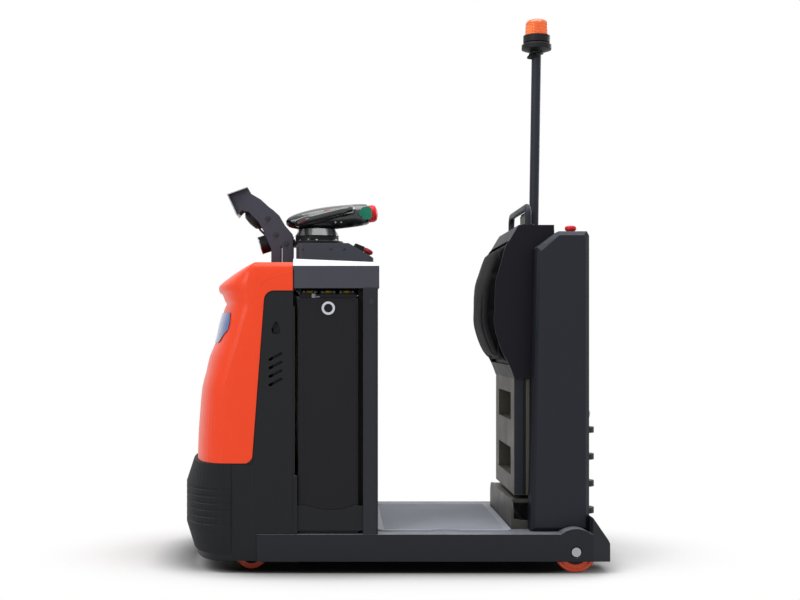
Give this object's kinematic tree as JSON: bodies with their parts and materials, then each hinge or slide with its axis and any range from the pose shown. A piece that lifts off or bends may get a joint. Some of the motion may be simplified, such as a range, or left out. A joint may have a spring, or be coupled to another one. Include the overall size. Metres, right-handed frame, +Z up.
{
  "type": "electric tow tractor",
  "caption": "Stand-on electric tow tractor with an orange hood, battery bay, steering head, padded backrest, tall beacon mast and a rear tow coupling.",
  "frame": {"origin": "on the floor, midway between the bumper and the tow coupling and midway between the rails", "axes": "+X towards the tow coupling, -X the driving direction, +Y the driver's right, +Z up"},
  "size_m": [1.4201, 0.8, 1.8749],
  "materials": {
    "left_rail": "satin black paint",
    "right_rail": "satin black paint",
    "tail_blocks": "painted casting",
    "fasteners": "zinc plated",
    "under_beams": "satin black paint",
    "platform_floor": "satin black paint",
    "floor_mat": "ribbed rubber",
    "drive_frame": "satin black paint",
    "front_skirt": "satin dark paint",
    "front_bumper": "moulded rubber",
    "hood": "gloss orange paint",
    "nose_lens": "clear blue plastic",
    "left_side_panel": "satin dark paint",
    "right_side_panel": "satin dark paint",
    "battery_case": "satin black paint",
    "battery_rings": "dull steel",
    "left_keeper": "satin grey paint",
    "right_keeper": "satin grey paint",
    "console_posts": "satin dark paint",
    "bay_wall": "satin dark paint",
    "console_cover": "moulded grey plastic",
    "dash_panel": "grained plastic",
    "display_unit": "gloss plastic",
    "key_switch": "plated",
    "dash_stop_button": "gloss red plastic",
    "steering_base": "grained plastic",
    "steering_head": "gloss dark green plastic",
    "throttle": "green plastic",
    "belly_button": "red plastic",
    "guard_arms": "satin black paint",
    "guard_visor": "bare steel",
    "headlamp_body": "satin grey paint",
    "headlamp_lens": "clear glass",
    "work_lamp": "black plastic",
    "column_frame": "satin dark paint",
    "column_left_cover": "satin slate paint",
    "column_right_cover": "satin slate paint",
    "column_rear_panel": "satin slate paint",
    "column_stop_button": "gloss red plastic",
    "backrest_shell": "grained plastic",
    "backrest_cushion": "coated fabric",
    "lower_panel": "grained beige plastic",
    "kick_plate": "satin grey paint",
    "grab_bar": "satin black paint",
    "mast": "satin black paint",
    "beacon_base": "black plastic",
    "beacon_lens": "orange ribbed plastic",
    "tow_coupling": "painted casting",
    "tow_pin": "bare steel",
    "drive_housing": "painted casting",
    "drive_motor": "satin grey paint",
    "drive_hub": "machined casting",
    "drive_tyre": "solid tyre",
    "left_caster_fork": "zinc plated",
    "right_caster_fork": "zinc plated",
    "left_caster_wheel": "orange polyurethane",
    "right_caster_wheel": "orange polyurethane",
    "rear_axle": "turned steel",
    "left_rear_wheel": "orange polyurethane",
    "right_rear_wheel": "orange polyurethane"
  },
  "bodies": {
    "chassis": {"left_rail": "left_rail", "right_rail": "right_rail", "tail_blocks": "tail_blocks", "fasteners": "fasteners", "under_beams": "under_beams", "platform_floor": "platform_floor", "floor_mat": "floor_mat", "drive_frame": "drive_frame", "front_skirt": "front_skirt", "front_bumper": "front_bumper", "hood": "hood", "nose_lens": "nose_lens", "left_side_panel": "left_side_panel", "right_side_panel": "right_side_panel", "battery_case": "battery_case", "battery_rings": "battery_rings", "console_posts": "console_posts", "bay_wall": "bay_wall", "console_cover": "console_cover", "dash_panel": "dash_panel", "display_unit": "display_unit", "steering_base": "steering_base", "guard_arms": "guard_arms", "guard_visor": "guard_visor", "headlamp_body": "headlamp_body", "headlamp_lens": "headlamp_lens", "work_lamp": "work_lamp", "column_frame": "column_frame", "column_left_cover": "column_left_cover", "column_right_cover": "column_right_cover", "column_rear_panel": "column_rear_panel", "backrest_shell": "backrest_shell", "backrest_cushion": "backrest_cushion", "lower_panel": "lower_panel", "kick_plate": "kick_plate", "grab_bar": "grab_bar", "mast": "mast", "beacon_base": "beacon_base", "beacon_lens": "beacon_lens", "tow_coupling": "tow_coupling", "rear_axle": "rear_axle"},
    "drive": {"drive_housing": "drive_housing", "drive_motor": "drive_motor"},
    "drive_wheel": {"drive_hub": "drive_hub", "drive_tyre": "drive_tyre"},
    "left_caster": {"left_caster_fork": "left_caster_fork"},
    "right_caster": {"right_caster_fork": "right_caster_fork"},
    "left_caster_roll": {"left_caster_wheel": "left_caster_wheel"},
    "right_caster_roll": {"right_caster_wheel": "right_caster_wheel"},
    "left_rear_roll": {"left_rear_wheel": "left_rear_wheel"},
    "right_rear_roll": {"right_rear_wheel": "right_rear_wheel"},
    "head": {"steering_head": "steering_head"},
    "throttle_wings": {"throttle": "throttle"},
    "belly": {"belly_button": "belly_button"},
    "key": {"key_switch": "key_switch"},
    "dash_stop": {"dash_stop_button": "dash_stop_button"},
    "column_stop": {"column_stop_button": "column_stop_button"},
    "left_keeper_plate": {"left_keeper": "left_keeper"},
    "right_keeper_plate": {"right_keeper": "right_keeper"},
    "pin": {"tow_pin": "tow_pin"}
  },
  "joints": [
    {"name": "drive_steer", "type": "hinge", "parent": "chassis", "child": "drive", "pos_m": [-0.505, 0, 0.298], "axis": [0, 0, 1], "range_deg": [-90, 90]},
    {"name": "drive_wheel_spin", "type": "hinge", "parent": "drive", "child": "drive_wheel", "pos_m": [-0.505, 0, 0.115], "axis": [0, 1, 0], "continuous": true},
    {"name": "head_turn", "type": "hinge", "parent": "chassis", "child": "head", "pos_m": [-0.26447, 0, 1.1], "axis": [0, 0, 1], "range_deg": [-23, 23]},
    {"name": "throttle_turn", "type": "hinge", "parent": "head", "child": "throttle_wings", "pos_m": [-0.10959, 0, 1.18772], "axis": [0, 1, 0], "range_deg": [-35, 35], "stiffness_Nm_per_rad": 2},
    {"name": "belly_press", "type": "slide", "parent": "head", "child": "belly", "axis": [-0.9945, 0, -0.1045], "range_m": [0, 0.008], "stiffness_N_per_m": 400},
    {"name": "key_turn", "type": "hinge", "parent": "chassis", "child": "key", "pos_m": [-0.09489, 0.114, 1.03906], "axis": [0.5081, 0, 0.8613], "range_deg": [-60, 0]},
    {"name": "dash_stop_press", "type": "slide", "parent": "chassis", "child": "dash_stop", "axis": [-0.5081, 0, -0.8613], "range_m": [0, 0.005], "stiffness_N_per_m": 600},
    {"name": "column_stop_press", "type": "slide", "parent": "chassis", "child": "column_stop", "axis": [0, 0, -1], "range_m": [0, 0.005], "stiffness_N_per_m": 600},
    {"name": "left_caster_swivel", "type": "hinge", "parent": "chassis", "child": "left_caster", "pos_m": [-0.495, -0.302, 0.13], "axis": [0, 0, 1], "continuous": true},
    {"name": "right_caster_swivel", "type": "hinge", "parent": "chassis", "child": "right_caster", "pos_m": [-0.495, 0.302, 0.13], "axis": [0, 0, 1], "continuous": true},
    {"name": "left_caster_spin", "type": "hinge", "parent": "left_caster", "child": "left_caster_roll", "pos_m": [-0.475, -0.302, 0.052], "axis": [0, 1, 0], "continuous": true},
    {"name": "right_caster_spin", "type": "hinge", "parent": "right_caster", "child": "right_caster_roll", "pos_m": [-0.475, 0.302, 0.052], "axis": [0, 1, 0], "continuous": true},
    {"name": "left_rear_spin", "type": "hinge", "parent": "chassis", "child": "left_rear_roll", "pos_m": [0.573, -0.364, 0.068], "axis": [0, 1, 0], "continuous": true},
    {"name": "right_rear_spin", "type": "hinge", "parent": "chassis", "child": "right_rear_roll", "pos_m": [0.573, 0.364, 0.068], "axis": [0, 1, 0], "continuous": true},
    {"name": "left_keeper_lift", "type": "slide", "parent": "chassis", "child": "left_keeper_plate", "axis": [0, 0, 1], "range_m": [0, 0.085]},
    {"name": "right_keeper_lift", "type": "slide", "parent": "chassis", "child": "right_keeper_plate", "axis": [0, 0, 1], "range_m": [0, 0.085]},
    {"name": "tow_pin_lift", "type": "slide", "parent": "chassis", "child": "pin", "axis": [0, 0, 1], "range_m": [0, 0.3]}
  ],
  "couplings": [
    {"joint": "head_turn", "follows": "drive_steer", "ratio": 0.25}
  ]
}
